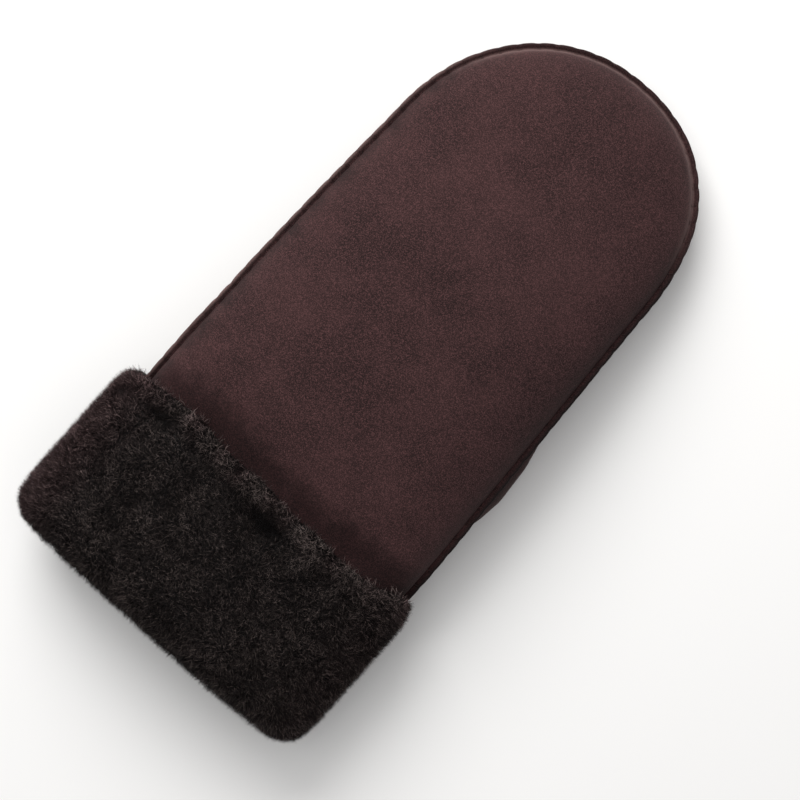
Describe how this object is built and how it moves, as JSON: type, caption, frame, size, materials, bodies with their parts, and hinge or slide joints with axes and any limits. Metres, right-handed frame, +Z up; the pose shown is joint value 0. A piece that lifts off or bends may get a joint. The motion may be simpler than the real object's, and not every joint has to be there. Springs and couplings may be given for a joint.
{
  "type": "leather mitten",
  "caption": "Left-hand sheepskin mitten with leather back and palm, overcast edge seam, thumb pouch folded under the palm and a turned-back wool cuff.",
  "frame": {"origin": "middle of the bounding box seen from above, on the surface that the mitten lies on", "axes": "+Y from the cuff to the fingertips, +X across the hand to the thumb's side, +Z up from the palm to the back of the hand"},
  "size_m": [0.1454, 0.28, 0.0533],
  "materials": {
    "leather": "dark brown sueded sheepskin leather, matte",
    "wool": "dense dark brown sheepskin wool, short pile",
    "lining_wool": "the same wool inside the hand, pressed by wear"
  },
  "bodies": {
    "root": {"back_panel": "leather", "palm_panel": "leather", "thumb": "leather", "cuff": "wool", "back_wool": "lining_wool", "palm_wool": "lining_wool"}
  },
  "joints": []
}
